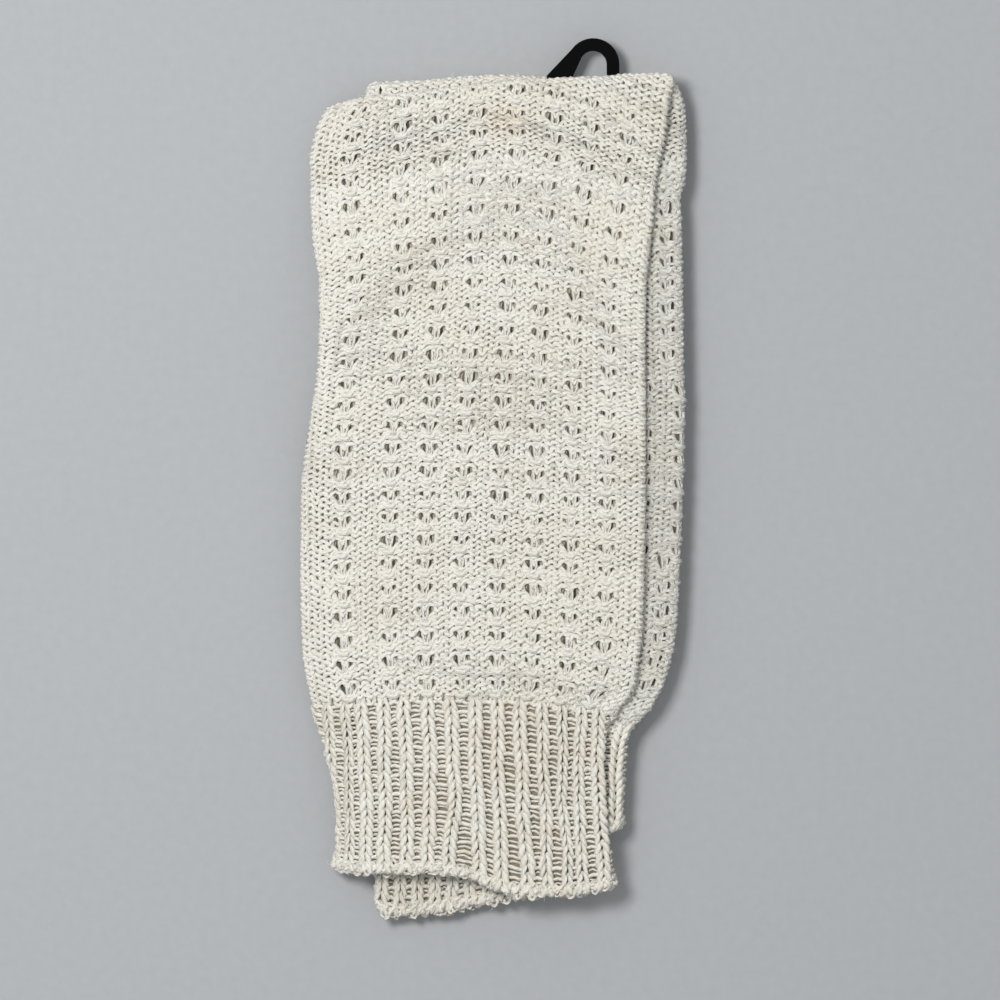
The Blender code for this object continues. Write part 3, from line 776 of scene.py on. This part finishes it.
pieces["back"].append(lay_courses(
    "back_leg_eyelet_knit_fold", back_knit,
    loops(-5, 26, 100, 114, [(-2.05, 106.7, 0.3, 0.95, 0.0)]), CREAM, 5))
pieces["back"].append(lay_courses(
    "back_leg_eyelet_knit_sole", back_sole, loops(-4, 25, 115, 214, [], COARSE_STEPS),
    CREAM, 3))

# %% [markdown]
# ## Ribbed cuffs
# The cuffs are one knit wale, one purl wale. A knit wale stands up as a pair of ropes, because
# each loop's two legs slant apart and overlap the next loop's. The purl wales sink between them
# and show as small bars. The loops are laid along each rib, with a slow wobble from side to side.

# %% Stitches of a cuff
RIB_COURSE = 3.4
RIB_YARN = 0.98
RIB_GAP = 7.0                      # from one rib to the next, where they are not squeezed
COVERED_COURSES = 7                # courses that show at the hem of a covered cuff
RIB_UPPER_Y, RIB_MIDDLE_Y = -90.0, -95.0
ROPE = np.array([0.7, 0.92, 1.0, 1.05, 0.95, 0.7])
LEG = np.array([(0.42, -0.30, -0.5), (0.66, 0.00, 0.3), (1.02, 0.34, 0.75),
                (1.45, 0.70, 0.75), (1.80, 1.05, 0.3), (1.92, 1.35, -0.5)])
BAR = np.array([(-0.36, 0.10, -0.5), (-0.17, 0.02, 0.0), (0.0, -0.04, 0.18), (0.17, 0.02, 0.0),
                (0.36, 0.10, -0.5)])
CUFF_HEIGHTS = (-77.5, -108.1, -127.2)
FRONT_RIBS = [
    (-56.3, -54.2, -53.2), (-49.9, -48.6, -48.8), (-44.7, -43.0, -43.0), (-37.2, -36.6, -36.9),
    (-30.1, -29.1, -29.4), (-21.9, -21.3, -22.3), (-14.6, -12.8, -14.8), (-6.3, -5.7, -4.6),
    (1.2, 1.8, 2.9), (9.0, 9.9, 11.4), (16.2, 17.5, 18.2), (23.3, 23.3, 25.2),
    (29.6, 28.6, 30.1), (35.4, 35.2, 37.2)]


def front_rib_x(rib, y):
    """Where a rib of the large cuff lies. Ribs past either edge go round it."""
    inside = min(max(rib, 0), len(FRONT_RIBS) - 1)
    x = np.interp(-y, [-h for h in CUFF_HEIGHTS], FRONT_RIBS[inside])
    return x + (rib - inside) * RIB_GAP


def even_rib_x(leg, half, ribs):
    """Evenly spaced ribs on another cuff."""
    def rib_x(rib, y):
        left, right = side_edges(leg, half, y)
        return left + (rib + 0.5) / ribs * (right - left)
    return rib_x


def cuff_length(leg, half):
    """From the seam of a cuff to its hem, at its middle."""
    return float(read_line(SEAM[(leg, half)], 0.0) - read_line(HEM[(leg, half)], 0.0))


def lay_cuff(name, leg, half, ribs, rib_x, side=1, sides=5, covered=()):
    """Knit wales and purl bars on one face of a cuff. Covered ribs show only near the hem."""
    courses = int(round(cuff_length(leg, half) / RIB_COURSE))
    seam_y = float(read_line(SEAM[(leg, half)], 0.0))
    lines, radii = [], []
    flip = half == "under"
    phases = random.uniform(0, 2 * math.pi, (len(ribs) + 1, 2))

    def put(rib, points, m, scale, thick, wobble):
        across, down, lift = points.T
        down = 1.0 - down if flip else down
        share = np.clip((m + down) / courses, -0.01, 0.99)
        y = read_line(SEAM[(leg, half)], rib_x(rib, RIB_UPPER_Y)) - share * cuff_length(leg, half)
        x_flat = rib_x(rib, y) + across * scale + wobble
        lines.append(np.stack(cuff_place(leg, half, x_flat, share, lift, side), -1))
        radii.append(thick)

    for i, rib in enumerate(ribs):
        gap = abs(rib_x(rib + 1, RIB_MIDDLE_Y) - rib_x(rib, RIB_MIDDLE_Y))
        scale = min(1.05, float(gap) / RIB_GAP)
        for m in range(courses - COVERED_COURSES if rib in covered else 0, courses):
            slow = (0.28 * math.sin(m * 0.7 + phases[i, 0])
                    + 0.15 * math.sin(m * 1.9 + phases[i, 1]))
            for way in (-1, 1):
                jitter = random.normal(0, 0.07, (len(LEG), 3))
                leg_points = LEG * (way, 1, 1) + jitter
                thick = RIB_YARN * scale * (1 + random.normal(0, 0.1)) * ROPE
                put(rib, leg_points, m, scale, thick, slow)
            here = seam_y - (m + 0.5) * RIB_COURSE
            clear = float(rib_x(rib + 1, here) - rib_x(rib, here))
            for low, deep, thick in ((0.25, 0.0, 0.74), (0.74, -0.3, 0.48)):
                bar = BAR * (clear, 1, 1) + (clear / 2, low, deep)
                bar = bar + random.normal(0, 0.05, (5, 3))
                bar[:, 1] += np.linspace(-0.5, 0.5, 5) * random.normal(0.06, 0.12)
                put(rib, bar, m, 1.0, np.full(5, thick * random.uniform(0.8, 1.15)), slow)
    tones = random.normal(0, 0.35, len(lines))
    return lay_yarn(name, lines, radii, tones, sides, RIB_CREAM)


front_under_x = even_rib_x("front", "under", 14)
cuffs = {
    "front": [
        lay_cuff("front_leg_top_cuff_knit", "front", "top", range(-1, 16), front_rib_x),
        lay_cuff("front_leg_under_cuff_knit_right", "front", "under", range(10, 16),
                 front_under_x),
        lay_cuff("front_leg_under_cuff_knit_left", "front", "under", range(-2, 2),
                 front_under_x, sides=4)],
    "back": [
        lay_cuff("back_leg_top_cuff_knit", "back", "top", range(-1, 14),
                 even_rib_x("back", "top", 13), sides=4, covered=range(1, 12)),
        lay_cuff("back_leg_under_cuff_knit", "back", "under", range(-1, 14),
                 even_rib_x("back", "under", 13), side=-1, sides=3)]}

# %% [markdown]
# ## Cast-off edges
# Each hem is a row of cast-off loops that rolls and felts a little. It is laid as four wavering
# lines of thick yarn round the opening, with small loops that hang out of it.

# %% Hems
HEM_ROWS = ((3.5, 0.5, 0.75), (2.6, 0.5, 0.9), (1.7, 0.3, 0.95), (1.1, -0.4, 0.8))
HEM_STEP, HEM_WAVE = 0.8, 3.4      # between two points of a row, and between two of its waves
LOOP_EVERY = 1.9


def hem_points(leg, half, left, arc, out, up):
    """Places round a hem, `out` millimetres inside it, or outside it where negative."""
    x_flat = left + HALF + arc
    length = cuff_length(leg, half)
    return np.stack(cuff_place(leg, half, x_flat, 1 - out / length, up), -1)


def lay_hem(name, leg, half):
    """Four wavering rows of thick yarn round an opening, and small loops that hang out of it."""
    left, right = side_edges(leg, half, float(read_line(HEM[(leg, half)], 0.0)))
    half_ring = right - left - 2 * HALF + math.pi * MID_WALL
    first, ring = (-half_ring - math.pi * MID_WALL) / 2, 2 * half_ring
    lines, radii = [], []
    for row, (back, lift, thick) in enumerate(HEM_ROWS):
        steps = np.arange(0, ring, HEM_STEP)
        wave = steps * 2 * math.pi / HEM_WAVE + 1.7 * row
        arc = first + steps + random.normal(0, 0.3, len(steps))
        out = back + 0.6 * np.sin(wave) + random.normal(0, 0.28, len(steps))
        up = lift + 0.35 * np.cos(wave) + random.normal(0, 0.16, len(steps))
        lines.append(hem_points(leg, half, left, arc, out, up))
        radii.append(thick * (1 + random.normal(0, 0.16, len(steps))))
    for start in first + np.arange(0, ring, LOOP_EVERY):
        size = random.choice([0.6, 0.8, 0.9, 1.2]) * random.uniform(0.8, 1.15)
        turn = np.linspace(-0.8, math.pi + 0.8, 7) + random.normal(0, 0.2)
        arc = start + random.normal(0, 0.6) + size * np.cos(turn)
        hang = 1.3 - abs(random.normal(0, 0.75))
        out = hang - size * np.sin(turn) + random.normal(0, 0.15, 7)
        up = min(random.normal(0.0, 0.4), 0.5) + random.normal(0, 0.25) * np.cos(turn)
        lines.append(hem_points(leg, half, left, arc, out, up))
        radii.append(np.full(7, random.uniform(0.32, 0.7)))
    tones = random.normal(-0.1, 0.3, len(lines))
    return lay_yarn(name, lines, radii, tones, 5, RIB_CREAM)


for leg in ("front", "back"):
    for half in ("top", "under"):
        cuffs[leg].append(lay_hem(f"{leg}_leg_{half}_hem", leg, half))

# %% [markdown]
# ## Fuzz
# Short cotton fibres stand off the yarn and soften every edge. Geometry Nodes scatter points on
# the yarn's surface and put a fine bent hair on each, turned at random.

# %% Geometry Nodes: hairs on the yarn
FUZZ_FLOOR = 0.003                 # no hairs grow below this height, in metres
HAIRS_FACE, HAIRS_SIDE = 340, 110  # hairs on a piece of the front face, and on any other


def fuzz_tree():
    """Puts bent hairs on a surface, each turned and scaled at random."""
    tree = new_tree("yarn_fuzz", {
        "Geometry": "Geometry", "Density": "Float", "Shortest": "Float", "Longest": "Float",
        "Material": "Material"})
    given = add_node(tree, "NodeGroupInput").outputs
    height = add_node(tree, "ShaderNodeSeparateXYZ", None, {
        "Vector": add_node(tree, "GeometryNodeInputPosition").outputs[0]})
    raised = add_node(tree, "FunctionNodeCompare", {
        "data_type": "FLOAT", "operation": "GREATER_THAN"}, {
        0: height.outputs["Z"], 1: FUZZ_FLOOR})
    points = add_node(tree, "GeometryNodeDistributePointsOnFaces", {
        "distribute_method": "RANDOM"}, {
        "Mesh": given["Geometry"], "Density": given["Density"], "Seed": 5,
        "Selection": raised.outputs[0]})
    bow = add_node(tree, "GeometryNodeCurveQuadraticBezier", None, {
        "Resolution": 1, "Start": (0.0, 0.0, -0.1), "Middle": (0.05, 0.0, 0.6),
        "End": (0.55, 0.1, 0.8)})
    ring = add_node(tree, "GeometryNodeCurvePrimitiveCircle", None, {
        "Resolution": 3, "Radius": 0.035})
    hair = add_node(tree, "GeometryNodeCurveToMesh", None, {
        "Curve": bow.outputs[0], "Profile Curve": ring.outputs["Curve"], "Fill Caps": True})
    turn = add_node(tree, "FunctionNodeRandomValue", {"data_type": "FLOAT_VECTOR"}, {
        0: (-0.8, -0.8, -3.1), 1: (0.8, 0.8, 3.1), "Seed": 7})
    turned = add_node(tree, "FunctionNodeRotateRotation", {"rotation_space": "LOCAL"}, {
        "Rotation": points.outputs["Rotation"], "Rotate By": turn.outputs[0]})
    length = add_node(tree, "FunctionNodeRandomValue", {"data_type": "FLOAT"}, {
        2: given["Shortest"], 3: given["Longest"], "Seed": 8})
    placed = add_node(tree, "GeometryNodeInstanceOnPoints", None, {
        "Points": points.outputs["Points"], "Instance": hair.outputs["Mesh"],
        "Rotation": turned.outputs[0], "Scale": length.outputs[1]})
    return end_tree(tree, placed.outputs[0], given["Material"])


FUZZ_TREE = fuzz_tree()
HAIRS, shader = new_material("cotton_fibre", 0.9)[:2]
shader.inputs["Base Color"].default_value = (0.86, 0.84, 0.77, 1.0)
shader.inputs["Specular IOR Level"].default_value = 0.2


def grow_fuzz(piece, count, shortest, longest):
    """A piece of `count` fine hairs on another piece."""
    area = sum(face.area for face in piece.data.polygons)
    return run_tree(piece.name + "_fuzz", piece.data, FUZZ_TREE, {
        "Density": count / area, "Shortest": shortest * MM, "Longest": longest * MM,
        "Material": HAIRS})


def all_fuzz(group, face, longest):
    """Fuzz for a group of pieces, apart from the sole and the strands in the shade."""
    return [grow_fuzz(piece, HAIRS_FACE if face in piece.name else HAIRS_SIDE, 0.7, longest)
            for piece in group if "sole" not in piece.name and "shade" not in piece.name]


for leg in ("front", "back"):
    pieces[leg] += all_fuzz(pieces[leg], "front_leg_eyelet", 2.0)
    cuffs[leg] += all_fuzz(cuffs[leg], "front_leg_top", 2.2)

# %% [markdown]
# ## The cloth under the yarn
# Yarn has gaps. Behind them a real tube shows the inside of its own far wall, in shade. A thin
# closed tube of cloth runs through each leg warmer from hem to hem, just under the yarn, and
# takes that part.

# %% Inner tubes
SHELL_OUT, SHELL_IN = 0.45, 0.15
END_TURNS = np.radians([90.0, 50.0, 15.0, -15.0, -50.0, -90.0])
HEM_SHARES = (1.0, 0.97, 0.75, 0.5, 0.35, 0.22, 0.13, 0.06)    # from the hem to the seam
FLAT_SHARES = np.linspace(1.0, 0.0, 16)                        # from the seam to the fold
FOLD_DEGREES = (30, 60, 90, 120, 150)
HEM_INSET = 3.2
TUBE_LEFT, TUBE_WIDTH = -50.0, 100.0       # rough places of a section's points
DENT_TUBE, TUBE_GIVE, TUBE_REST = 4.6, 0.2, 6.0    # the dent, as for the yarn above it


def shell_ring():
    """Arc and height of a flat tube's section: shares across, and the turns at both ends."""
    flat = np.linspace(0.0, 1.0, 15)[1:-1]
    ring = [(share, 0.0, 1.0) for share in flat]
    ring += [(1.0, math.cos(a), math.sin(a)) for a in END_TURNS]
    ring += [(share, 0.0, -1.0) for share in flat[::-1]]
    ring += [(0.0, -math.cos(a), math.sin(a)) for a in END_TURNS[::-1]]
    return np.array(ring)


SHELL_RING = shell_ring().T


def tube_stations():
    """Every section of a tube: its kind, its half, its turn round the fold, and a share."""
    halves = {}
    for half, turn in (("under", 0.0), ("top", math.pi)):
        halves[half] = [("hem", half, turn, share) for share in HEM_SHARES]
        halves[half] += [("flat", half, turn, share) for share in FLAT_SHARES]
    fold = [("fold", None, math.radians(angle), 0.0) for angle in FOLD_DEGREES]
    return halves["under"] + fold + halves["top"][::-1]


def tube_section(leg, kind, half, turn, along, reach):
    """Points round one section of an inner tube, `reach` from the middle of the flat tube."""
    share, out_x, out_z = SHELL_RING
    x_near = TUBE_LEFT + TUBE_WIDTH * share
    y = read_line(FOLD[leg], x_near) - FOLD_RADIUS - HALF
    if kind == "fold":
        y = y + FOLD_RADIUS * math.sin(turn)
    else:
        seam = read_line(SEAM[(leg, half)], x_near)
        hem = read_line(HEM[(leg, half)], x_near) + HEM_INSET
        y = y + along * (seam - y) if kind == "flat" else seam + along * (hem - seam)
    left, right = edges_at_turn(leg, y, turn)
    x = left + HALF + share * (right - left - 2 * HALF) + reach * out_x
    y_out = y + reach * out_z * math.sin(turn)
    middle = LEVEL[(leg, "under")] + FOLD_RADIUS
    z = middle - (FOLD_RADIUS + reach * out_z) * math.cos(turn) - sag(leg, x, y)
    if leg == "back":
        floor_z = DENT_TUBE + TUBE_GIVE * (z - TUBE_REST)
        z = np.where(z > DENT_TUBE, z + (floor_z - z) * under_hook(x, y_out), z)
    return np.stack([x, y_out, z], -1)


def inner_tube(name, leg, look):
    """A thin tube of cloth: an outer and an inner skin that meet at both hems."""
    stations = tube_stations()
    points = [tube_section(leg, *station, reach)
              for reach in (SHELL_OUT, SHELL_IN) for station in stations]
    count = len(points[0])
    inner, last = len(stations) * count, (len(stations) - 1) * count
    around = [(i, (i + 1) % count) for i in range(count)]
    faces = []
    for start in range(0, last, count):
        for i, j in around:
            a, b = start + i, start + j
            faces += [(a, b, b + count, a + count),
                      (inner + a + count, inner + b + count, inner + b, inner + a)]
    for i, j in around:
        faces += [(inner + i, inner + j, j, i),
                  (last + i, last + j, inner + last + j, inner + last + i)]
    mesh = bpy.data.meshes.new(name)
    places = (np.concatenate(points) - (CENTRE_X, CENTRE_Y, 0.0)) * MM
    mesh.from_pydata(places.tolist(), [], faces)
    shape = bmesh.new()
    shape.from_mesh(mesh)
    bmesh.ops.recalc_face_normals(shape, faces=shape.faces)
    if shape.calc_volume(signed=True) < 0:
        bmesh.ops.reverse_faces(shape, faces=shape.faces)
    shape.to_mesh(mesh)
    shape.free()
    mesh.shade_smooth()
    mesh.materials.append(look)
    made = bpy.data.objects.new(name, mesh)
    bpy.context.scene.collection.objects.link(made)
    print(name, len(faces), "faces")
    return made


tubes = {leg: inner_tube(f"{leg}_leg_inner_tube", leg, SHADE) for leg in ("front", "back")}

# %% [markdown]
# ## The hook
# The hook is moulded in black plastic with a satin surface. Its solid has the true shape, so it
# stays and only gets a better finish.

# %% Hook finish
black, shader, place = new_material("black_satin_plastic", 0.42)
shader.inputs["Base Color"].default_value = (0.002, 0.002, 0.0022, 1.0)
shader.inputs["Specular IOR Level"].default_value = 0.03
(place.noise(900.0, 2.0) * 0.12 + 0.46).join(shader, "Roughness")
hook = bpy.data.objects["hanger_hook"]
for slot in hook.material_slots:
    slot.material = black
print("hook has", len(hook.material_slots), "material slot")

# %% [markdown]
# ## Floor, light and camera
# The floor is plain and pale. One large soft lamp hangs overhead, a little to the left, and the
# sky fills the shadows. The camera looks straight down from far away, as in a product picture.

# %% Floor
bpy.ops.mesh.primitive_plane_add(size=6.0, location=(0, 0, -0.0004))
floor = bpy.context.object
floor.name = "floor"
paper, shader, place = new_material("pale_floor", 0.85)
place.noise(300.0, 2.0).mix((0.40, 0.41, 0.42), (0.44, 0.45, 0.46)).join(shader, "Base Color")
floor.data.materials.append(paper)

# %% Lamp and sky
lamp = bpy.data.lights.new("main_lamp", "AREA")
lamp.size, lamp.energy = 0.36, 11.5
bulb = bpy.data.objects.new("main_lamp", lamp)
bulb.location = (-0.44, 0.30, 1.20)
bulb.rotation_mode = "QUATERNION"
bulb.rotation_quaternion = bulb.location.to_track_quat("Z", "Y")
bpy.context.scene.collection.objects.link(bulb)

sky = bpy.data.worlds.new("soft_sky")
sky.use_nodes = True
glow = sky.node_tree.nodes["Background"]
glow.inputs["Color"].default_value = (0.95, 0.97, 1.0, 1.0)
glow.inputs["Strength"].default_value = 0.50
bpy.context.scene.world = sky
bpy.context.scene.view_settings.view_transform = "Standard"

# %% Camera
CAMERA_HEIGHT, FRAME_WIDTH, SENSOR = 3.0, 0.34, 36.0
lens = bpy.data.cameras.new("camera")
lens.sensor_width = SENSOR
lens.lens = SENSOR * CAMERA_HEIGHT / FRAME_WIDTH
lens.clip_end = 20.0
camera = bpy.data.objects.new("camera", lens)
camera.location = (0.00228, -0.00759, CAMERA_HEIGHT)
bpy.context.scene.collection.objects.link(camera)
bpy.context.scene.camera = camera

# %% [markdown]
# ## What each piece is
# Nothing here moves, so every piece rides on the root. The inner tubes take the place of the
# smooth bodies, and the yarn of the cuffs takes that of the smooth cuffs. The front leg warmer
# rests on the back one.

# %% Rides, and the smooth solids hidden
for leg in ("front", "back"):
    for piece in pieces[leg] + [tubes[leg]]:
        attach(piece, "root")
    for piece in cuffs[leg]:
        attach(piece, "root")
    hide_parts(f"{leg}_leg_body")
    for half in ("top", "under"):
        piece = next(p for p in cuffs[leg] if f"{half}_cuff_knit" in p.name)
        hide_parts(f"{leg}_leg_{half}_cuff")
